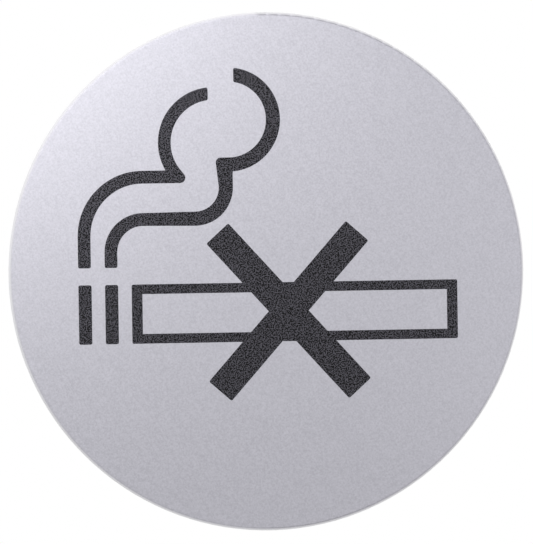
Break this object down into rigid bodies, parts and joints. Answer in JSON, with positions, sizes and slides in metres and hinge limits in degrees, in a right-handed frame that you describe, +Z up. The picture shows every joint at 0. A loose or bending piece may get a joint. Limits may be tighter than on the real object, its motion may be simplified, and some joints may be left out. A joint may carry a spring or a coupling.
{
  "type": "no smoking sign",
  "caption": "Round flat steel plate for a wall or door, with an inlaid dark pictogram of a smoking cigarette crossed out.",
  "frame": {"origin": "centre of the flat back, which goes against the wall", "axes": "+Z up, +X to the viewer's right, +Y into the wall; the face looks towards -Y"},
  "size_m": [0.075, 0.001, 0.075],
  "materials": {
    "satin_steel": "fine matt satin on the face, polished rounding at the rim",
    "dark_enamel": "matt dark grey enamel, slightly speckled"
  },
  "bodies": {
    "root": {"plate": "satin_steel", "pictogram_enamel": "dark_enamel"}
  },
  "joints": []
}
